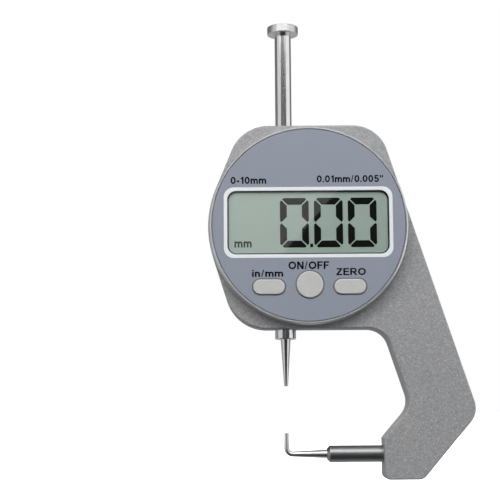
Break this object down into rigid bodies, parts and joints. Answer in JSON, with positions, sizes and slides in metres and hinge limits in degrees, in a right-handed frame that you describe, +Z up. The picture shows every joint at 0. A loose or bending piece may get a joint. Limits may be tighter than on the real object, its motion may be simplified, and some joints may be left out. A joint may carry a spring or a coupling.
{
  "type": "digital thickness gauge",
  "caption": "Hand-held digital thickness gauge: C-shaped frame with a round digital dial, sprung needle spindle and hooked anvil for narrow recesses.",
  "frame": {"origin": "tip of the fixed anvil pin, on the spindle's axis: the measuring point", "axes": "+Z up along the spindle from the anvil to the lift knob, +X from the spindle towards the frame's arm, +Y from the dial's face to the back"},
  "size_m": [0.079, 0.0152, 0.1382],
  "materials": {
    "frame_paint": "silver-grey metallic paint with a fine speckle",
    "bezel_metal": "satin turned",
    "black_plastic": "matt moulded",
    "face_panel": "blue-grey satin printed panel",
    "white_trim": "smooth white",
    "clear_lens": "clear, smooth",
    "lcd": "grey-green reflective display behind polariser",
    "rubber": "matt",
    "board": "green solder mask",
    "spring_steel": "bright spring steel",
    "button_plastic": "light grey satin",
    "cell_steel": "bright nickel plated",
    "cover_plate": "dark grey anodised look",
    "door_plastic": "matt black moulded",
    "screw_steel": "zinc plated",
    "polished_steel": "ground and polished",
    "satin_steel": "satin ground",
    "brass": "turned",
    "ink": "printed lettering and display segments, near black"
  },
  "bodies": {
    "gauge_body": {"frame": "frame_paint", "bezel_ring": "bezel_metal", "dial_housing": "black_plastic", "face_plate": "face_panel", "window_trim": "white_trim", "window_lens": "clear_lens", "lcd_glass": "lcd", "lcd_holder": "black_plastic", "zebra_strips": "rubber", "main_board": "board", "encoder_chip": "black_plastic", "button_domes": "spring_steel", "battery": "cell_steel", "battery_holder": "black_plastic", "battery_contact_plus": "spring_steel", "battery_contact_minus": "spring_steel", "back_cover": "cover_plate", "case_screws": "screw_steel", "board_screws": "screw_steel", "rail_screws": "screw_steel", "upper_bush": "brass", "lower_bush": "brass", "guide_rail": "cover_plate", "return_spring": "spring_steel", "anvil_holder": "satin_steel", "anvil_pin": "polished_steel", "anvil_set_screw": "screw_steel"},
    "spindle_unit": {"spindle": "polished_steel", "lift_knob": "polished_steel", "contact_point": "polished_steel", "scale_carrier": "black_plastic", "scale_strip": "board", "carrier_screw": "screw_steel", "guide_pin": "polished_steel"},
    "button_unit": {"button_unit": "button_plastic"},
    "button_power": {"button_power": "button_plastic"},
    "button_zero": {"button_zero": "button_plastic"},
    "battery_door": {"battery_door": "door_plastic"}
  },
  "joints": [
    {"name": "spindle_slide", "type": "slide", "parent": "gauge_body", "child": "spindle_unit", "axis": [0, 0, 1], "range_m": [-0.0139, 0], "stiffness_N_per_m": 40, "springref_m": -0.03, "deforming": ["return_spring"]},
    {"name": "unit_press", "type": "slide", "parent": "gauge_body", "child": "button_unit", "axis": [0, 1, 0], "range_m": [0, 0.0005], "stiffness_N_per_m": 400},
    {"name": "power_press", "type": "slide", "parent": "gauge_body", "child": "button_power", "axis": [0, 1, 0], "range_m": [0, 0.0005], "stiffness_N_per_m": 400},
    {"name": "zero_press", "type": "slide", "parent": "gauge_body", "child": "button_zero", "axis": [0, 1, 0], "range_m": [0, 0.0005], "stiffness_N_per_m": 400},
    {"name": "door_turn", "type": "hinge", "parent": "gauge_body", "child": "battery_door", "pos_m": [0.021, 0.004, 0.0617], "axis": [0, 1, 0], "range_deg": [0, 40]}
  ]
}
